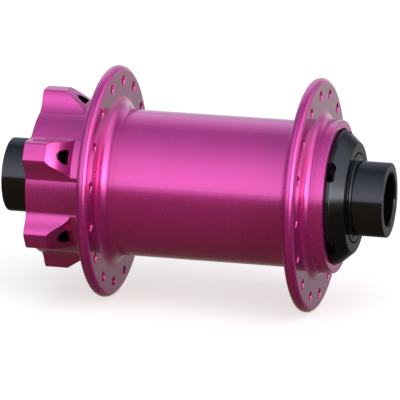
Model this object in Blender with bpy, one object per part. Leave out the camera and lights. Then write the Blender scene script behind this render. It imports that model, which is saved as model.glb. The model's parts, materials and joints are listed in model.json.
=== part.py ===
"""Front bicycle hub for a 15 mm thru-axle, a six-bolt brake rotor and 32 spokes.

The hub's axis lies along Y, with +Y towards the rotor, +X forwards and +Z up. The origin
is midway between the two outer end faces. Lengths are in metres. A profile is a closed
loop of (y, radius) points that is spun about Y, and an angle about the axis is counted
from +Z towards -X.
"""
import math

import bmesh
import bpy
from mathutils import Matrix, Vector

MM = 0.001

# Standard sizes
END_TO_END = 110.0 * MM
THRU_AXLE_RADIUS = 7.5 * MM
ROTOR_BOLT_CIRCLE_RADIUS = 22.0 * MM
ROTOR_BOLT_COUNT = 6
ROTOR_FACE_INBOARD = 10.5 * MM
BEARING_BORE_RADIUS = 12.5 * MM
BEARING_OUTER_RADIUS = 18.5 * MM
BEARING_WIDTH = 7.0 * MM

# Clearances between separate pieces, and how far a cutter runs past what it cuts
FIT_GAP = 0.2 * MM
FREE_GAP = 0.3 * MM
OVERSHOOT = 1.0 * MM

# Rotor mount
ROTOR_FACE_Y = END_TO_END / 2 - ROTOR_FACE_INBOARD
LOBE_TIP_RADIUS = 26.1 * MM
LOBE_RADIUS = 4.1 * MM
LOBE_CENTRE_RADIUS = 22.7 * MM
LOBE_FLANK_RADIUS = 7.2 * MM
LOBE_FLANK_ROOT_RADIUS = 21.2 * MM
MOUNT_FLOOR_RADIUS = 21.5 * MM
MOUNT_CONE_START_Y = 38.05 * MM
MOUNT_CONE_SLOPE = math.tan(math.radians(32.5))
MOUNT_FOOT_RADIUS = 21.9 * MM
MOUNT_BURIED_Y = 25.5 * MM
SHIELD_RECESS_RADIUS = 19.0 * MM
SHIELD_RECESS_DEPTH = 1.0 * MM
ROTOR_BOLT_HOLE_RADIUS = 2.3 * MM
ROTOR_BOLT_HOLE_DEPTH = 12.0 * MM

# Spoke flanges
FLANGE_RADIUS = 32.9 * MM
FLANGE_FACE_RADIUS = 31.3 * MM
FLANGE_THICKNESS = 3.24 * MM
LEFT_FLANGE_Y = 25.14 * MM
RIGHT_FLANGE_Y = -33.5 * MM
SPOKE_HOLE_CIRCLE_RADIUS = 28.5 * MM
SPOKE_HOLE_RADIUS = 1.35 * MM
SPOKES_PER_FLANGE = 16
FLANGE_COVE_RADIUS = 3.84 * MM
MOUNT_COVE_RADIUS = 2.2 * MM
LIP_COVE_RADIUS = 2.4 * MM

# Shell body
BARREL_RADIUS = 20.66 * MM
NECK_RADIUS = 20.0 * MM
LIP_RADIUS = 21.44 * MM
LIP_BORE_RADIUS = 19.2 * MM
LIP_END_Y = -40.65 * MM
SHELL_BORE_RADIUS = 17.0 * MM

# Bearings: a ball rolls between two grooved races, held apart by a cage
LEFT_BEARING_Y = 39.5 * MM
RIGHT_BEARING_Y = -35.5 * MM
BALL_RADIUS = 1.75 * MM
BALL_CIRCLE_RADIUS = 15.5 * MM
BALL_COUNT = 15
GROOVE_RADIUS = 1.95 * MM
INNER_LAND_RADIUS = 14.3 * MM
OUTER_LAND_RADIUS = 16.75 * MM
SEAL_STEP_RADIUS = 17.4 * MM
SEAL_STEP_HALF_WIDTH = 2.45 * MM
SEAL_INSIDE_HALF_WIDTH = 2.65 * MM
SEAL_THICKNESS = 0.6 * MM
CAGE_INNER_RADIUS = 14.8 * MM
CAGE_OUTER_RADIUS = 16.3 * MM
CAGE_WIDTH = 4.6 * MM
CAGE_POCKET_RADIUS = 2.0 * MM

# Axle
AXLE_RADIUS = 12.3 * MM
AXLE_BORE_RADIUS = 9.8 * MM
AXLE_END_Y = 44.2 * MM
SHIELD_RADIUS = 18.1 * MM
SHIELD_THICKNESS = 0.8 * MM
SHIELD_BOSS_RADIUS = 14.0 * MM

# End caps
CAP_RADIUS = 10.5 * MM
CAP_FLANGE_RADIUS = 12.35 * MM
CAP_FLANGE_INNER_Y = 44.4 * MM
CAP_FLANGE_OUTER_Y = 45.65 * MM
CAP_FILLET_RADIUS = 0.6 * MM
CAP_CHAMFER = 0.5 * MM
CAP_PLUG_RADIUS = 9.5 * MM
CAP_PLUG_END_Y = 32.4 * MM
CAP_SEAL_Y = 38.0 * MM
CAP_SEAL_GROOVE_RADIUS = 8.65 * MM
CAP_SEAL_GROOVE_WIDTH = 1.2 * MM
CAP_SEAL_RING_RADIUS = 9.24 * MM
CAP_SEAL_SECTION_RADIUS = 0.42 * MM

# Preload adjuster
ADJUSTER_RADIUS = 18.8 * MM
ADJUSTER_BORE_RADIUS = 12.75 * MM
ADJUSTER_INNER_Y = -39.6 * MM
ADJUSTER_SEAT_Y = -40.4 * MM
ADJUSTER_SEAT_RADIUS = 14.7 * MM
ADJUSTER_CONE_START_Y = -41.8 * MM
ADJUSTER_CONE_END_RADIUS = 15.45 * MM
ADJUSTER_OUTER_Y = -45.56 * MM
SPANNER_SLOT_COUNT = 5
SPANNER_SLOT_FIRST_ANGLE = math.radians(54.0)
SPANNER_SLOT_Y = -41.4 * MM
SPANNER_SLOT_WIDTH = 2.8 * MM
SPANNER_SLOT_LENGTH = 5.9 * MM
SPANNER_SLOT_BOTTOM_RADIUS = 15.0 * MM
ADJUSTER_SEAL_Y = -42.6 * MM
ADJUSTER_SEAL_GROOVE_RADIUS = 13.55 * MM
ADJUSTER_SEAL_GROOVE_WIDTH = 1.2 * MM
ADJUSTER_SEAL_RING_RADIUS = 12.93 * MM
ADJUSTER_SEAL_SECTION_RADIUS = 0.4 * MM
SPACER_INNER_Y = -39.2 * MM
SPACER_OUTER_Y = -40.2 * MM
SPACER_OUTER_RADIUS = 14.2 * MM

# Mesh fineness
SHELL_SEGMENTS = 48
RING_SEGMENTS = 32
SEAL_RING_SEGMENTS = 24
SEAL_SECTION_SEGMENTS = 6
HOLE_SEGMENTS = 8
BOLT_HOLE_SEGMENTS = 12
FLOOR_FACETS = 5
SHARP_ANGLE = math.radians(35.0)


def clear_scene():
    for obj in list(bpy.data.objects):
        bpy.data.objects.remove(obj, do_unlink=True)


def make_material(name, colour, metallic, roughness):
    material = bpy.data.materials.new(name)
    material.use_nodes = True
    shader = material.node_tree.nodes["Principled BSDF"]
    shader.inputs["Base Color"].default_value = (*colour, 1.0)
    shader.inputs["Metallic"].default_value = metallic
    shader.inputs["Roughness"].default_value = roughness
    material.diffuse_color = (*colour, 1.0)
    return material


def add_object(name, bm, material=None):
    """Turn a bmesh into a named object in the scene."""
    bmesh.ops.recalc_face_normals(bm, faces=bm.faces)
    mesh = bpy.data.meshes.new(name)
    bm.to_mesh(mesh)
    bm.free()
    mesh.shade_smooth()
    mesh.set_sharp_from_angle(angle=SHARP_ANGLE)
    if material is not None:
        mesh.materials.append(material)
    obj = bpy.data.objects.new(name, mesh)
    bpy.context.scene.collection.objects.link(obj)
    return obj


def around(angle, radius, y=0.0):
    """The point at an angle about the hub's axis."""
    return Vector((-radius * math.sin(angle), y, radius * math.cos(angle)))


def arc(centre_y, centre_radius, radius, start_deg, end_deg, steps):
    """Profile points along an arc, where 0 degrees faces +Y and 90 faces outwards."""
    points = []
    for step in range(steps + 1):
        angle = math.radians(start_deg + (end_deg - start_deg) * step / steps)
        y = centre_y + radius * math.cos(angle)
        points.append((y, centre_radius + radius * math.sin(angle)))
    return points


def mirrored(profile):
    return [(-y, radius) for y, radius in profile]


def turned(name, profile, segments, material=None, start_angle=0.0):
    """Spin a closed (y, radius) profile about the Y axis."""
    bm = bmesh.new()
    verts = [bm.verts.new(around(start_angle, radius, y)) for y, radius in profile]
    edges = [bm.edges.new((verts[i - 1], verts[i])) for i in range(len(verts))]
    bmesh.ops.spin(
        bm, geom=verts + edges, cent=(0, 0, 0), axis=(0, 1, 0),
        angle=2 * math.pi, steps=segments, use_merge=True, use_duplicate=False,
    )
    return add_object(name, bm, material)


def cutter(name, bm):
    """A shape that only cuts or joins another, and isn't a piece of the hub."""
    obj = add_object(name, bm)
    return as_cutter(obj)


def as_cutter(obj):
    obj.hide_render = True
    obj.display_type = "WIRE"
    return obj


def combine(target, tool, operation):
    modifier = target.modifiers.new(tool.name, "BOOLEAN")
    modifier.operation = operation
    modifier.solver = "EXACT"
    modifier.object = tool


def add_peg(bm, start, end, radius, segments):
    """A closed cylinder between two points."""
    direction = end - start
    turn = direction.to_track_quat("Z", "Y").to_matrix().to_4x4()
    matrix = Matrix.Translation((start + end) / 2) @ turn
    bmesh.ops.create_cone(
        bm, cap_ends=True, segments=segments, radius1=radius, radius2=radius,
        depth=direction.length, matrix=matrix,
    )


def rim_profile(centre_y):
    """The rounded rim of a spoke flange, from its +Y face to its -Y face."""
    half = FLANGE_THICKNESS / 2
    rise = FLANGE_RADIUS - FLANGE_FACE_RADIUS
    radius = (half * half + rise * rise) / (2 * rise)
    spread = math.degrees(math.asin(half / radius))
    return arc(centre_y, FLANGE_RADIUS - radius, radius, 90 - spread, 90 + spread, 4)


def shell_profile():
    left_face = LEFT_FLANGE_Y + FLANGE_THICKNESS / 2
    left_inner = LEFT_FLANGE_Y - FLANGE_THICKNESS / 2
    right_inner = RIGHT_FLANGE_Y + FLANGE_THICKNESS / 2
    right_face = RIGHT_FLANGE_Y - FLANGE_THICKNESS / 2
    half_bearing = BEARING_WIDTH / 2
    recess_y = ROTOR_FACE_Y - SHIELD_RECESS_DEPTH
    right_seat_end = RIGHT_BEARING_Y - half_bearing - FREE_GAP / 2
    cove = FLANGE_COVE_RADIUS
    outer = [(recess_y, NECK_RADIUS)]
    outer += arc(left_face + MOUNT_COVE_RADIUS, NECK_RADIUS + MOUNT_COVE_RADIUS,
                 MOUNT_COVE_RADIUS, 270, 180, 2)
    outer += rim_profile(LEFT_FLANGE_Y)
    outer += arc(left_inner - cove, BARREL_RADIUS + cove, cove, 0, -90, 4)
    outer += arc(right_inner + cove, BARREL_RADIUS + cove, cove, 270, 180, 4)
    outer += rim_profile(RIGHT_FLANGE_Y)
    outer += arc(right_face - LIP_COVE_RADIUS, LIP_RADIUS + LIP_COVE_RADIUS,
                 LIP_COVE_RADIUS, 0, -90, 3)
    outer += [(LIP_END_Y, LIP_RADIUS)]
    inner = [
        (LIP_END_Y, LIP_BORE_RADIUS),
        (right_seat_end, LIP_BORE_RADIUS),
        (right_seat_end, BEARING_OUTER_RADIUS),
        (RIGHT_BEARING_Y + half_bearing, BEARING_OUTER_RADIUS),
        (RIGHT_BEARING_Y + half_bearing, SHELL_BORE_RADIUS),
        (LEFT_BEARING_Y - half_bearing, SHELL_BORE_RADIUS),
        (LEFT_BEARING_Y - half_bearing, BEARING_OUTER_RADIUS),
        (recess_y, BEARING_OUTER_RADIUS),
    ]
    return outer + inner


def lobe_half_outline():
    """One side of a rotor lobe, as (along the lobe, across it) points from tip to floor."""
    reach = LOBE_FLANK_ROOT_RADIUS + LOBE_FLANK_RADIUS
    span = LOBE_RADIUS + LOBE_FLANK_RADIUS
    cosine = (LOBE_CENTRE_RADIUS ** 2 + reach ** 2 - span ** 2) / (2 * LOBE_CENTRE_RADIUS * reach)
    flank_angle = math.acos(cosine)
    flank_x = reach * cosine
    flank_y = reach * math.sin(flank_angle)
    join_angle = math.atan2(flank_y, flank_x - LOBE_CENTRE_RADIUS)
    points = []
    for step in range(5):
        angle = join_angle * step / 4
        along = LOBE_CENTRE_RADIUS + LOBE_RADIUS * math.cos(angle)
        points.append((along, LOBE_RADIUS * math.sin(angle)))
    floor = MOUNT_FLOOR_RADIUS
    crossing = (floor ** 2 + reach ** 2 - LOBE_FLANK_RADIUS ** 2) / (2 * floor * reach)
    crease_angle = flank_angle - math.acos(crossing)
    crease_x = floor * math.cos(crease_angle)
    crease_y = floor * math.sin(crease_angle)
    start = join_angle - math.pi
    end = math.atan2(crease_y - flank_y, crease_x - flank_x)
    for step in range(1, 5):
        angle = start + (end - start) * step / 4
        along = flank_x + LOBE_FLANK_RADIUS * math.cos(angle)
        points.append((along, flank_y + LOBE_FLANK_RADIUS * math.sin(angle)))
    floor_step = (math.pi / ROTOR_BOLT_COUNT - crease_angle) * 2 / FLOOR_FACETS
    for step in range(1, FLOOR_FACETS // 2 + 1):
        angle = crease_angle + floor_step * step
        points.append((floor * math.cos(angle), floor * math.sin(angle)))
    return points


def make_rotor_mount():
    """The six-lobed boss: an extruded outline, turned down to a land, a cone and a foot."""
    half = lobe_half_outline()
    lobe = [(along, -across) for along, across in reversed(half[1:])] + half
    bm = bmesh.new()
    verts = []
    for index in range(ROTOR_BOLT_COUNT):
        angle = 2 * math.pi * index / ROTOR_BOLT_COUNT
        for along, across in lobe:
            point_angle = angle + math.atan2(across, along)
            verts.append(bm.verts.new(around(point_angle, math.hypot(along, across), ROTOR_FACE_Y)))
    face = bm.faces.new(verts)
    result = bmesh.ops.extrude_face_region(bm, geom=[face])
    moved = [item for item in result["geom"] if isinstance(item, bmesh.types.BMVert)]
    bmesh.ops.translate(bm, verts=moved, vec=(0, MOUNT_BURIED_Y - OVERSHOOT - ROTOR_FACE_Y, 0))
    mount = cutter("mount_outline", bm)
    cone_end_y = MOUNT_CONE_START_Y - (LOBE_TIP_RADIUS - MOUNT_FOOT_RADIUS) / MOUNT_CONE_SLOPE
    envelope = as_cutter(turned("mount_envelope", [
        (ROTOR_FACE_Y + OVERSHOOT, SHIELD_RECESS_RADIUS),
        (ROTOR_FACE_Y + OVERSHOOT, LOBE_TIP_RADIUS),
        (MOUNT_CONE_START_Y, LOBE_TIP_RADIUS),
        (cone_end_y, MOUNT_FOOT_RADIUS),
        (MOUNT_BURIED_Y, MOUNT_FOOT_RADIUS),
        (MOUNT_BURIED_Y, SHIELD_RECESS_RADIUS),
    ], SHELL_SEGMENTS))
    combine(mount, envelope, "INTERSECT")
    return mount


def make_hub_shell(material):
    quarter_segment = math.pi / (2 * SHELL_SEGMENTS)  # keeps the facets' edges off the holes
    shell = turned("hub_shell", shell_profile(), SHELL_SEGMENTS, material, quarter_segment)
    combine(shell, make_rotor_mount(), "UNION")
    holes = bmesh.new()
    for flange_y, half_steps in ((LEFT_FLANGE_Y, 1), (RIGHT_FLANGE_Y, 0)):
        for index in range(SPOKES_PER_FLANGE):
            angle = math.pi * (2 * index + half_steps) / SPOKES_PER_FLANGE
            reach = FLANGE_THICKNESS
            add_peg(holes, around(angle, SPOKE_HOLE_CIRCLE_RADIUS, flange_y - reach),
                    around(angle, SPOKE_HOLE_CIRCLE_RADIUS, flange_y + reach),
                    SPOKE_HOLE_RADIUS, HOLE_SEGMENTS)
    combine(shell, cutter("spoke_hole_cutter", holes), "DIFFERENCE")
    bolts = bmesh.new()
    for index in range(ROTOR_BOLT_COUNT):
        angle = 2 * math.pi * index / ROTOR_BOLT_COUNT
        bottom = ROTOR_FACE_Y - ROTOR_BOLT_HOLE_DEPTH
        add_peg(bolts, around(angle, ROTOR_BOLT_CIRCLE_RADIUS, bottom),
                around(angle, ROTOR_BOLT_CIRCLE_RADIUS, ROTOR_FACE_Y + OVERSHOOT),
                ROTOR_BOLT_HOLE_RADIUS, BOLT_HOLE_SEGMENTS)
    combine(shell, cutter("rotor_bolt_cutter", bolts), "DIFFERENCE")
    return shell


def make_axle(material):
    shield_outer = AXLE_END_Y + FIT_GAP / 2
    shield_inner = shield_outer - SHIELD_THICKNESS
    boss_y = LEFT_BEARING_Y + BEARING_WIDTH / 2 + FIT_GAP
    return turned("axle", [
        (shield_outer, AXLE_BORE_RADIUS),
        (shield_outer, SHIELD_RADIUS),
        (shield_inner, SHIELD_RADIUS),
        (shield_inner, SHIELD_BOSS_RADIUS),
        (boss_y, SHIELD_BOSS_RADIUS),
        (boss_y, AXLE_RADIUS),
        (-AXLE_END_Y, AXLE_RADIUS),
        (-AXLE_END_Y, AXLE_BORE_RADIUS),
    ], RING_SEGMENTS, material)


def end_cap_profile():
    end_y = END_TO_END / 2
    half_groove = CAP_SEAL_GROOVE_WIDTH / 2
    profile = [
        (end_y, THRU_AXLE_RADIUS + CAP_CHAMFER),
        (end_y, CAP_RADIUS - CAP_CHAMFER / 2),
        (end_y - CAP_CHAMFER / 2, CAP_RADIUS),
    ]
    profile += arc(CAP_FLANGE_OUTER_Y + CAP_FILLET_RADIUS, CAP_RADIUS + CAP_FILLET_RADIUS,
                   CAP_FILLET_RADIUS, 270, 180, 2)
    profile += [
        (CAP_FLANGE_OUTER_Y, CAP_FLANGE_RADIUS),
        (CAP_FLANGE_INNER_Y, CAP_FLANGE_RADIUS),
        (CAP_FLANGE_INNER_Y, CAP_PLUG_RADIUS),
        (CAP_SEAL_Y + half_groove, CAP_PLUG_RADIUS),
        (CAP_SEAL_Y + half_groove, CAP_SEAL_GROOVE_RADIUS),
        (CAP_SEAL_Y - half_groove, CAP_SEAL_GROOVE_RADIUS),
        (CAP_SEAL_Y - half_groove, CAP_PLUG_RADIUS),
        (CAP_PLUG_END_Y, CAP_PLUG_RADIUS),
        (CAP_PLUG_END_Y, THRU_AXLE_RADIUS),
        (end_y - CAP_CHAMFER, THRU_AXLE_RADIUS),
    ]
    return profile


def make_o_ring(name, y, ring_radius, section_radius, material):
    section = arc(y, ring_radius, section_radius, 0, 360, SEAL_SECTION_SEGMENTS)[:-1]
    return turned(name, section, SEAL_RING_SEGMENTS, material)


def make_end_caps(cap_material, ring_material):
    profile = end_cap_profile()
    turned("left_end_cap", profile, RING_SEGMENTS, cap_material)
    turned("right_end_cap", mirrored(profile), RING_SEGMENTS, cap_material)
    for side, y in (("left", CAP_SEAL_Y), ("right", -CAP_SEAL_Y)):
        make_o_ring(side + "_cap_o_ring", y, CAP_SEAL_RING_RADIUS,
                    CAP_SEAL_SECTION_RADIUS, ring_material)


def add_spanner_slot(bm, angle):
    """A round-ended slot that runs in towards the axis from outside the adjuster."""
    end_radius = SPANNER_SLOT_WIDTH / 2
    straight = SPANNER_SLOT_LENGTH / 2 - end_radius
    outline = arc(straight, 0.0, end_radius, -90, 90, 4) + arc(-straight, 0.0, end_radius, 90, 270, 4)
    tangent = Vector((math.cos(angle), 0.0, math.sin(angle)))
    loops = []
    for radius in (SPANNER_SLOT_BOTTOM_RADIUS, ADJUSTER_RADIUS + OVERSHOOT):
        centre = around(angle, radius, SPANNER_SLOT_Y)
        loops.append([bm.verts.new(centre + tangent * along + Vector((0.0, across, 0.0)))
                      for along, across in outline])
    bottom, top = loops
    bm.faces.new(bottom[::-1])
    bm.faces.new(top)
    for i in range(len(outline)):
        bm.faces.new((bottom[i - 1], bottom[i], top[i], top[i - 1]))


def make_adjuster(material, ring_material, spacer_material):
    half_groove = ADJUSTER_SEAL_GROOVE_WIDTH / 2
    adjuster = turned("preload_adjuster", [
        (ADJUSTER_INNER_Y, ADJUSTER_RADIUS),
        (ADJUSTER_CONE_START_Y, ADJUSTER_RADIUS),
        (ADJUSTER_OUTER_Y, ADJUSTER_CONE_END_RADIUS),
        (ADJUSTER_OUTER_Y, ADJUSTER_BORE_RADIUS),
        (ADJUSTER_SEAL_Y - half_groove, ADJUSTER_BORE_RADIUS),
        (ADJUSTER_SEAL_Y - half_groove, ADJUSTER_SEAL_GROOVE_RADIUS),
        (ADJUSTER_SEAL_Y + half_groove, ADJUSTER_SEAL_GROOVE_RADIUS),
        (ADJUSTER_SEAL_Y + half_groove, ADJUSTER_BORE_RADIUS),
        (ADJUSTER_SEAT_Y, ADJUSTER_BORE_RADIUS),
        (ADJUSTER_SEAT_Y, ADJUSTER_SEAT_RADIUS),
        (ADJUSTER_INNER_Y, ADJUSTER_SEAT_RADIUS),
    ], SHELL_SEGMENTS, material)
    slots = bmesh.new()
    for index in range(SPANNER_SLOT_COUNT):
        add_spanner_slot(slots, SPANNER_SLOT_FIRST_ANGLE + 2 * math.pi * index / SPANNER_SLOT_COUNT)
    combine(adjuster, cutter("spanner_slot_cutter", slots), "DIFFERENCE")
    make_o_ring("adjuster_o_ring", ADJUSTER_SEAL_Y, ADJUSTER_SEAL_RING_RADIUS,
                ADJUSTER_SEAL_SECTION_RADIUS, ring_material)
    turned("preload_spacer", [
        (SPACER_INNER_Y, BEARING_BORE_RADIUS),
        (SPACER_INNER_Y, SPACER_OUTER_RADIUS),
        (SPACER_OUTER_Y, SPACER_OUTER_RADIUS),
        (SPACER_OUTER_Y, BEARING_BORE_RADIUS),
    ], RING_SEGMENTS, spacer_material)


def groove_points(centre_y, land_radius, side):
    """A race's ball groove from high y to low y; side is 1 on the outer race and -1 on the inner."""
    depth = abs(land_radius - BALL_CIRCLE_RADIUS)
    spread = math.degrees(math.acos(depth / GROOVE_RADIUS))
    return arc(centre_y, BALL_CIRCLE_RADIUS, GROOVE_RADIUS,
               side * (90.0 - spread), side * (90.0 + spread), 4)


def make_races(side, centre_y, material):
    half = BEARING_WIDTH / 2
    turned(side + "_inner_race", [
        (centre_y - half, BEARING_BORE_RADIUS),
        (centre_y + half, BEARING_BORE_RADIUS),
        (centre_y + half, INNER_LAND_RADIUS),
        *groove_points(centre_y, INNER_LAND_RADIUS, -1),
        (centre_y - half, INNER_LAND_RADIUS),
    ], RING_SEGMENTS, material)
    outer_radius = BEARING_OUTER_RADIUS - FIT_GAP
    turned(side + "_outer_race", [
        (centre_y - half, outer_radius),
        (centre_y + half, outer_radius),
        (centre_y + half, SEAL_STEP_RADIUS),
        (centre_y + SEAL_STEP_HALF_WIDTH, SEAL_STEP_RADIUS),
        (centre_y + SEAL_STEP_HALF_WIDTH, OUTER_LAND_RADIUS),
        *groove_points(centre_y, OUTER_LAND_RADIUS, 1),
        (centre_y - SEAL_STEP_HALF_WIDTH, OUTER_LAND_RADIUS),
        (centre_y - SEAL_STEP_HALF_WIDTH, SEAL_STEP_RADIUS),
        (centre_y - half, SEAL_STEP_RADIUS),
    ], RING_SEGMENTS, material)


def make_seals(side, centre_y, material):
    for place, direction in (("inboard", -1), ("outboard", 1)):
        if side == "right":
            direction = -direction
        inside = centre_y + direction * SEAL_INSIDE_HALF_WIDTH
        outside = inside + direction * SEAL_THICKNESS
        turned(f"{side}_{place}_seal", [
            (inside, INNER_LAND_RADIUS + FREE_GAP),
            (outside, INNER_LAND_RADIUS + FREE_GAP),
            (outside, SEAL_STEP_RADIUS - FREE_GAP),
            (inside, SEAL_STEP_RADIUS - FREE_GAP),
        ], RING_SEGMENTS, material)


def make_balls_and_cage(side, centre_y, ball_material, cage_material):
    half = CAGE_WIDTH / 2
    cage = turned(side + "_ball_cage", [
        (centre_y - half, CAGE_INNER_RADIUS),
        (centre_y + half, CAGE_INNER_RADIUS),
        (centre_y + half, CAGE_OUTER_RADIUS),
        (centre_y - half, CAGE_OUTER_RADIUS),
    ], 2 * BALL_COUNT, cage_material)
    pockets = bmesh.new()
    for index in range(BALL_COUNT):
        angle = 2 * math.pi * index / BALL_COUNT
        add_peg(pockets, around(angle, CAGE_INNER_RADIUS - OVERSHOOT, centre_y),
                around(angle, CAGE_OUTER_RADIUS + OVERSHOOT, centre_y),
                CAGE_POCKET_RADIUS, HOLE_SEGMENTS)
        ball = bmesh.new()
        bmesh.ops.create_icosphere(ball, subdivisions=1, radius=BALL_RADIUS)
        obj = add_object(f"{side}_ball_{index + 1:02d}", ball, ball_material)
        obj.data.shade_smooth()
        obj.location = around(angle, BALL_CIRCLE_RADIUS, centre_y)
    combine(cage, cutter(side + "_pocket_cutter", pockets), "DIFFERENCE")


def main():
    clear_scene()
    magenta = make_material("anodised_magenta", (0.72, 0.07, 0.42), 1.0, 0.28)
    black = make_material("anodised_black", (0.03, 0.031, 0.035), 0.6, 0.35)
    axle_black = make_material("axle_alloy", (0.05, 0.05, 0.055), 0.6, 0.35)
    steel = make_material("bearing_steel", (0.62, 0.62, 0.64), 1.0, 0.18)
    polymer = make_material("cage_polymer", (0.55, 0.42, 0.25), 0.0, 0.5)
    rubber = make_material("seal_rubber", (0.02, 0.02, 0.022), 0.0, 0.7)
    make_hub_shell(magenta)
    make_axle(axle_black)
    make_end_caps(black, rubber)
    make_adjuster(black, rubber, steel)
    for side, centre_y in (("left", LEFT_BEARING_Y), ("right", RIGHT_BEARING_Y)):
        make_races(side, centre_y, steel)
        make_seals(side, centre_y, rubber)
        make_balls_and_cage(side, centre_y, steel, polymer)


main()
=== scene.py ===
"""Looks of the front hub: fine surfaces, finishes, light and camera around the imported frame.

Everything is in metres in the frame's own axes: the hub turns about Y, with +Y towards the
rotor and +Z up. A profile is a closed loop of (y, radius) points that is turned about Y, and
an angle about the axis is counted from +Z towards -X.
"""
import json
import math

import bmesh
import bpy
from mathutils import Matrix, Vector

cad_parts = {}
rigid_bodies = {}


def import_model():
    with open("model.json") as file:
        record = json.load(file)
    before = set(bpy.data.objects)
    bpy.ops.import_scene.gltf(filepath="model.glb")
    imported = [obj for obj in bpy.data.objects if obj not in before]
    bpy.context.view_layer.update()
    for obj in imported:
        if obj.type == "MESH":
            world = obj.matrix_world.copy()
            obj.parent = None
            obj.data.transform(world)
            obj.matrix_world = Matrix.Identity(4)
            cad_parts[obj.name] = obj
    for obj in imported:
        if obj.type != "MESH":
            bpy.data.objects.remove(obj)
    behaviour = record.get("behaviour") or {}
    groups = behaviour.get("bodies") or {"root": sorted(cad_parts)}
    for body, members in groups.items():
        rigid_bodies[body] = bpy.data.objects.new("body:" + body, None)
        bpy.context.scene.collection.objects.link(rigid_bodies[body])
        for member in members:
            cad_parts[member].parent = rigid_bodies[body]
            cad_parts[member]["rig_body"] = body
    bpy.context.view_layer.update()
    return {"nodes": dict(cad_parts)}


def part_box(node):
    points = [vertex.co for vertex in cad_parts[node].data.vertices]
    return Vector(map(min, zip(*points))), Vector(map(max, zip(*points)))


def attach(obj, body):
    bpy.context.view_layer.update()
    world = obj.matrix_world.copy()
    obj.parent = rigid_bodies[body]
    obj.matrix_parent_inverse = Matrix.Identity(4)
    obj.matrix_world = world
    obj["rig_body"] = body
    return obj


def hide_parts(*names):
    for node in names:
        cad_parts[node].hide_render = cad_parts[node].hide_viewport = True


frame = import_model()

MM = 0.001

# Places read from the frame
SHELL_LOW, SHELL_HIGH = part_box("hub_shell")
AXLE_LOW, AXLE_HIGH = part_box("axle")
CAP_LOW, CAP_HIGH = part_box("left_end_cap")
ADJUSTER_LOW, ADJUSTER_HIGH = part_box("preload_adjuster")
LEFT_RACE_LOW, LEFT_RACE_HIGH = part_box("left_inner_race")
RIGHT_RACE_LOW, RIGHT_RACE_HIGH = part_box("right_inner_race")
ROTOR_FACE_Y = SHELL_HIGH.y
LIP_END_Y = SHELL_LOW.y
FLANGE_RADIUS = SHELL_HIGH.z
END_Y = CAP_HIGH.y
FLOOR_Z = SHELL_LOW.z

# Rotor mount
LOBE_COUNT = 6
LOBE_FIRST_ANGLE = 0.0
LOBE_TIP_RADIUS = 26.1 * MM
LOBE_RADIUS = 4.1 * MM
LOBE_CENTRE_RADIUS = 22.7 * MM
LOBE_FLANK_RADIUS = 7.2 * MM
LOBE_FLANK_REACH = 21.2 * MM + LOBE_FLANK_RADIUS
MOUNT_FLOOR_RADIUS = 21.5 * MM
MOUNT_CONE_START_Y = 38.05 * MM
MOUNT_CONE_SLOPE = math.tan(math.radians(32.5))
MOUNT_FOOT_RADIUS = 21.9 * MM
MOUNT_FOOT_Y = MOUNT_CONE_START_Y - (LOBE_TIP_RADIUS - MOUNT_FOOT_RADIUS) / MOUNT_CONE_SLOPE
SHIELD_RECESS_RADIUS = 19.0 * MM
SHIELD_RECESS_DEPTH = 1.0 * MM
BOLT_CIRCLE_RADIUS = 22.0 * MM
BOLT_MINOR_RADIUS = 2.2 * MM
BOLT_MAJOR_RADIUS = 2.5 * MM
BOLT_PITCH = 0.45 * MM
BOLT_DEPTH = 12.0 * MM
CUT_OVERSHOOT = 0.5 * MM

# Spoke flanges
FLANGE_FACE_RADIUS = 31.3 * MM
FLANGE_THICKNESS = 3.24 * MM
LEFT_FLANGE_Y = 25.14 * MM
RIGHT_FLANGE_Y = -33.5 * MM
SPOKE_CIRCLE_RADIUS = 28.5 * MM
SPOKE_HOLE_RADIUS = 1.3 * MM
SPOKE_MOUTH_RADIUS = 1.6 * MM
SPOKES_PER_FLANGE = 16
FLANGE_COVE_RADIUS = 3.84 * MM
MOUNT_COVE_RADIUS = 2.2 * MM
LIP_COVE_RADIUS = 2.4 * MM

# Shell body
BARREL_RADIUS = 20.66 * MM
NECK_RADIUS = 20.0 * MM
LIP_RADIUS = 21.44 * MM
LIP_BORE_RADIUS = 19.2 * MM
SEAT_RADIUS = 18.5 * MM
SHELL_BORE_RADIUS = 17.0 * MM
SOFT_EDGE = 0.35 * MM
EDGE = 0.2 * MM
FINE_EDGE = 0.1 * MM

# Bearings, with each seal's lip, rib and bead counted from its nearer edge
RACE_BORE_RADIUS = 12.5 * MM
BALL_COUNT = 15
BALL_RADIUS = 1.75 * MM
BALL_CIRCLE_RADIUS = 15.5 * MM
GROOVE_RADIUS = 1.95 * MM
INNER_LAND_RADIUS = 14.3 * MM
OUTER_LAND_RADIUS = 16.75 * MM
SEAL_STEP_RADIUS = 17.4 * MM
SEAL_STEP_HALF_WIDTH = 2.45 * MM
CAGE_INNER_RADIUS = 14.8 * MM
CAGE_POCKET_RADIUS = 1.85 * MM
SEAL_LIP_GAP = 0.3 * MM
SEAL_LIP_WIDTH = 0.7 * MM
SEAL_RIB_INSET = 0.9 * MM
SEAL_BEAD_WIDTH = 0.5 * MM
SEAL_BEAD_CREST = 0.35 * MM
SEAL_DIP = 0.15 * MM

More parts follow.
